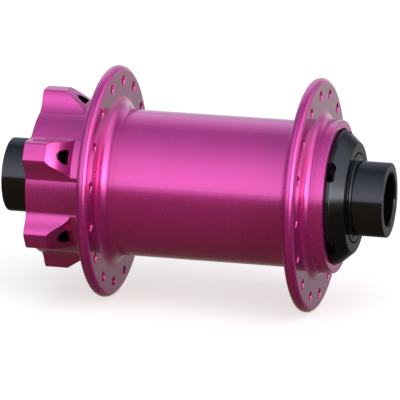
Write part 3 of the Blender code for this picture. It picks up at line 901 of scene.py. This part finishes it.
def anodised_magenta(name, dark, light, roughness):
    """Dyed aluminium between two shades, over the faint marks of the lathe."""
    nodes = Nodes(bpy.data.materials.new(name))
    place, _ = nodes.position()
    blast = nodes.noise(place, 4200.0, 3.0)
    cloud = nodes.noise(place, 90.0, 3.0)
    marks = nodes.noise(nodes.lathe_coordinates(0.7 * MM), 1.0, 2.0)
    nodes.link(nodes.blend(cloud, dark, light), nodes.shader.inputs["Base Color"])
    streaks = nodes.spread(marks, -0.01, 0.01)
    grain = nodes.spread(blast, roughness - 0.02, roughness + 0.02)
    nodes.link(nodes.math("ADD", streaks, grain), nodes.shader.inputs["Roughness"])
    nodes.shader.inputs["Metallic"].default_value = 0.72
    nodes.shader.inputs["IOR"].default_value = 2.5
    nodes.shader.inputs["Coat Weight"].default_value = 1.0
    nodes.shader.inputs["Coat Roughness"].default_value = 0.07
    nodes.bump([(blast, 0.006), (marks, 0.004)], 0.02 * MM)
    return nodes.owner


def hole_shade_finish():
    """Painted shade for the inside of a threaded hole: a near-black, slightly uneven colour that
    stands in for the shade deep in the hole.
    """
    nodes = Nodes(bpy.data.materials.new("painted_hole_shade"))
    place, _ = nodes.position()
    cloud = nodes.noise(place, 900.0, 3.0)
    colour = nodes.blend(cloud, (0.012, 0.001, 0.004), (0.03, 0.003, 0.01))
    nodes.link(colour, nodes.shader.inputs["Base Color"])
    nodes.link(nodes.spread(cloud, 0.4, 0.55), nodes.shader.inputs["Roughness"])
    nodes.shader.inputs["Specular IOR Level"].default_value = 0.3
    nodes.bump([(cloud, 0.1)], 0.02 * MM)
    return nodes.owner


def anodised_black(name, pitch):
    """Black anodised aluminium with fine turning rings, which mirrors less at a low angle."""
    nodes = Nodes(bpy.data.materials.new(name))
    place, _ = nodes.position()
    grain = nodes.noise(place, 3800.0, 3.0)
    cloud = nodes.noise(place, 120.0, 3.0)
    marks = nodes.noise(nodes.lathe_coordinates(pitch), 1.0, 3.0)
    colour = nodes.blend(cloud, (0.071, 0.073, 0.069), (0.075, 0.077, 0.073))
    nodes.link(colour, nodes.shader.inputs["Base Color"])
    rings = nodes.spread(marks, -0.015, 0.015)
    rough = nodes.spread(grain, 0.08, 0.11)
    nodes.link(nodes.math("ADD", rings, rough), nodes.shader.inputs["Roughness"])
    nodes.shader.inputs["Metallic"].default_value = 0.94
    nodes.shader.inputs["Specular Tint"].default_value = (0.66, 0.67, 0.69, 1.0)
    nodes.bump([(grain, 0.015), (marks, 0.02)], 0.02 * MM)
    return nodes.owner


def ground_steel():
    """Bright steel with the fine rings of a grinding wheel."""
    nodes = Nodes(bpy.data.materials.new("bearing_steel_finish"))
    place, _ = nodes.position()
    marks = nodes.noise(nodes.lathe_coordinates(0.12 * MM), 1.0, 2.0)
    cloud = nodes.noise(place, 200.0, 2.0)
    colour = nodes.blend(cloud, (0.56, 0.56, 0.58), (0.64, 0.64, 0.65))
    nodes.link(colour, nodes.shader.inputs["Base Color"])
    nodes.link(nodes.spread(marks, 0.12, 0.22), nodes.shader.inputs["Roughness"])
    nodes.shader.inputs["Metallic"].default_value = 1.0
    nodes.bump([(marks, 0.05)], 0.01 * MM)
    return nodes.owner


def moulded(name, first, second, roughness, grain_scale):
    """A moulded part with a fine grain and a slightly uneven colour."""
    nodes = Nodes(bpy.data.materials.new(name))
    place, _ = nodes.position()
    grain = nodes.noise(place, grain_scale, 4.0)
    cloud = nodes.noise(place, 150.0, 2.0)
    nodes.link(nodes.blend(cloud, first, second), nodes.shader.inputs["Base Color"])
    rough = nodes.spread(grain, roughness - 0.06, roughness + 0.06)
    nodes.link(rough, nodes.shader.inputs["Roughness"])
    nodes.bump([(grain, 0.2)], 0.02 * MM)
    return nodes.owner


def floor_finish():
    """A pale, matt and slightly uneven floor that glows a little, so that it stays pale."""
    nodes = Nodes(bpy.data.materials.new("pale_floor"))
    place, _ = nodes.position()
    cloud = nodes.noise(place, 6.0, 2.0)
    colour = nodes.blend(cloud, (0.72, 0.72, 0.68), (0.74, 0.74, 0.70))
    nodes.link(colour, nodes.shader.inputs["Base Color"])
    nodes.link(nodes.spread(cloud, 0.85, 0.95), nodes.shader.inputs["Roughness"])
    nodes.shader.inputs["Specular IOR Level"].default_value = 0.0
    nodes.shader.inputs["Emission Color"].default_value = (1.0, 0.98, 0.90, 1.0)
    nodes.shader.inputs["Emission Strength"].default_value = 0.6
    return nodes.owner


# ---------------------------------------------------------------- floor, light and camera

CAMERA_AZIMUTH = math.radians(-75.0)
CAMERA_ELEVATION = math.radians(15.4)
CAMERA_DISTANCE = 1.2096
CAMERA_LENS = 386.6
CAMERA_AIM = Vector((0.093, -0.348, -3.83)) * MM
FLOOR_HALF_SIZE = 6.0


def direction(azimuth, elevation):
    """From the hub towards a place that far round and that far up, as the camera counts it."""
    level = math.cos(elevation)
    return Vector((math.sin(azimuth) * level, -math.cos(azimuth) * level, math.sin(elevation)))


def make_floor():
    """A wide floor under the hub, which the hub doesn't mirror."""
    bm = bmesh.new()
    bmesh.ops.create_grid(bm, x_segments=8, y_segments=8, size=FLOOR_HALF_SIZE)
    floor = finish_mesh(bm, "floor")
    floor.location.z = FLOOR_Z
    floor.data.materials.append(floor_finish())
    floor.visible_glossy = False
    floor.visible_diffuse = False
    floor.visible_shadow = False


def add_softbox(name, azimuth_deg, elevation_deg, distance, width, height, power):
    """An area light that faces the hub and doesn't show in it."""
    toward = direction(math.radians(azimuth_deg), math.radians(elevation_deg))
    light = bpy.data.lights.new(name, "AREA")
    light.shape = "RECTANGLE"
    light.size = width
    light.size_y = height
    light.energy = power
    obj = bpy.data.objects.new(name, light)
    obj.location = toward * distance
    obj.rotation_mode = "QUATERNION"
    obj.rotation_quaternion = toward.to_track_quat("Z", "Y")
    obj.visible_glossy = False
    bpy.context.scene.collection.objects.link(obj)


# Light from each side of the studio: degrees up from the camera's side, over the top, and colour
STUDIO = (
    (-180, (0.70, 0.69, 0.75)),
    (-168, (0.84, 0.80, 0.86)),
    (-165.5, (0.80, 0.75, 0.79)),
    (-162, (0.40, 0.36, 0.36)),
    (-150, (0.25, 0.22, 0.19)),
    (-125, (0.098, 0.073, 0.054)),
    (-90, (0.096, 0.067, 0.043)),
    (-45, (0.118, 0.076, 0.046)),
    (2.5, (0.14, 0.098, 0.07)),
    (7.5, (1.00, 1.01, 1.32)),
    (12, (1.08, 1.09, 1.44)),
    (22, (1.08, 1.09, 1.44)),
    (32, (0.98, 0.98, 1.32)),
    (48, (0.80, 0.81, 1.10)),
    (68, (0.54, 0.56, 0.80)),
    (90, (0.33, 0.36, 0.52)),
    (112, (0.20, 0.22, 0.35)),
    (132, (0.48, 0.52, 0.70)),
    (150, (0.66, 0.74, 0.96)),
    (165, (0.48, 0.53, 0.68)),
    (180, (0.70, 0.69, 0.75)),
)

# A soft panel off to the -Y side: how far that way it is centred, how far it reaches either side
# of there, and its own colours
PANEL_Y = -0.78
PANEL_REACH = 0.44
PANEL = (
    (-180, (0.0, 0.0, 0.0)),
    (-40, (0.0, 0.0, 0.0)),
    (-10, (0.25, 0.24, 0.26)),
    (5, (2.0, 2.0, 2.3)),
    (12, (2.7, 2.7, 3.2)),
    (32, (2.7, 2.7, 3.2)),
    (50, (1.8, 1.8, 2.15)),
    (70, (1.2, 1.2, 1.45)),
    (100, (0.82, 0.84, 1.03)),
    (125, (0.62, 0.64, 0.78)),
    (145, (0.5, 0.5, 0.6)),
    (165, (0.15, 0.15, 0.18)),
    (180, (0.0, 0.0, 0.0)),
)

# How much of the studio's light is left towards the two ends of the axle, by the
# direction's y times 180: a flag beside the panel dims what the flanges' faces mirror
ENDS = (
    (-180, (0.5, 0.5, 0.5)),
    (-50, (0.5, 0.5, 0.5)),
    (-5, (0.9, 0.9, 0.9)),
    (20, (1.0, 1.0, 1.0)),
    (85, (1.0, 1.0, 1.0)),
    (120, (0.65, 0.65, 0.67)),
    (160, (0.4, 0.4, 0.42)),
    (180, (0.35, 0.35, 0.37)),
)


def make_world():
    """A soft studio: a bright wall on the camera's side, a paler one behind and a dark floor."""
    world = bpy.data.worlds.new("studio")
    nodes = Nodes(world, "Background")
    parts = nodes.add("ShaderNodeSeparateXYZ")
    nodes.link(nodes.add("ShaderNodeTexCoord").outputs["Generated"], parts.inputs[0])
    toward_camera = nodes.math("MULTIPLY", parts.outputs["X"], -1.0)
    angle = nodes.math("ARCTAN2", parts.outputs["Z"], toward_camera)
    offset = nodes.math("DIVIDE", nodes.math("SUBTRACT", parts.outputs["Y"], PANEL_Y), PANEL_REACH)
    inside = nodes.math("SUBTRACT", 1.0, nodes.math("MULTIPLY", offset, offset))
    bell = nodes.math("POWER", nodes.math("MAXIMUM", inside, 0.0), 2.0)
    ends = nodes.ramp(nodes.math("MULTIPLY", parts.outputs["Y"], math.pi), ENDS)
    wall = nodes.vector_math("MULTIPLY", nodes.ramp(angle, STUDIO), ends)
    panel = nodes.vector_math("MULTIPLY", nodes.ramp(angle, PANEL), bell)
    light = nodes.vector_math("ADD", wall, panel)
    nodes.link(light, nodes.shader.inputs["Color"])
    bpy.context.scene.world = world


def make_camera():
    toward = direction(CAMERA_AZIMUTH, CAMERA_ELEVATION)
    camera = bpy.data.cameras.new("camera")
    camera.lens = CAMERA_LENS
    camera.sensor_width = 36.0
    camera.clip_start = 0.05
    camera.clip_end = 50.0
    obj = bpy.data.objects.new("camera", camera)
    obj.location = CAMERA_AIM + toward * CAMERA_DISTANCE
    obj.rotation_mode = "QUATERNION"
    obj.rotation_quaternion = toward.to_track_quat("Z", "Y")
    bpy.context.scene.collection.objects.link(obj)
    bpy.context.scene.camera = obj


def make_hub():
    magenta = anodised_magenta("anodised_magenta_finish", (0.92, 0.038, 0.36), (0.97, 0.045, 0.39),
                               roughness=0.26)
    # A smoother copy of the magenta for the flanges' flat faces; its darker colour is painted shade
    # that dims what they mirror.
    shaded_face_magenta = anodised_magenta("painted_shade_face_magenta", (0.42, 0.022, 0.18), (0.45, 0.026, 0.20),
                             roughness=0.14)
    black = anodised_black("anodised_black_finish", pitch=0.22 * MM)
    axle_black = anodised_black("axle_finish", pitch=0.3 * MM)
    steel = ground_steel()
    rubber = moulded("seal_rubber_finish", (0.018, 0.018, 0.019), (0.028, 0.028, 0.03),
                     roughness=0.62, grain_scale=2500.0)
    polymer = moulded("cage_polymer_finish", (0.50, 0.37, 0.19), (0.58, 0.44, 0.25),
                      roughness=0.48, grain_scale=1800.0)
    make_shell(magenta, hole_shade_finish(), shaded_face_magenta)
    make_axle(axle_black)
    make_caps(black)
    make_adjuster(black)
    make_spacer(steel)
    for node in ("left_cap_o_ring", "right_cap_o_ring", "adjuster_o_ring"):
        make_o_ring(node, rubber)
    make_bearing("left", steel, rubber, polymer)
    make_bearing("right", steel, rubber, polymer)


make_hub()
make_floor()
make_world()
add_softbox("top_softbox", azimuth_deg=-75.0, elevation_deg=70.0,
            distance=1.8, width=1.6, height=1.6, power=7.0)
make_camera()
bpy.context.scene.view_settings.view_transform = "Standard"
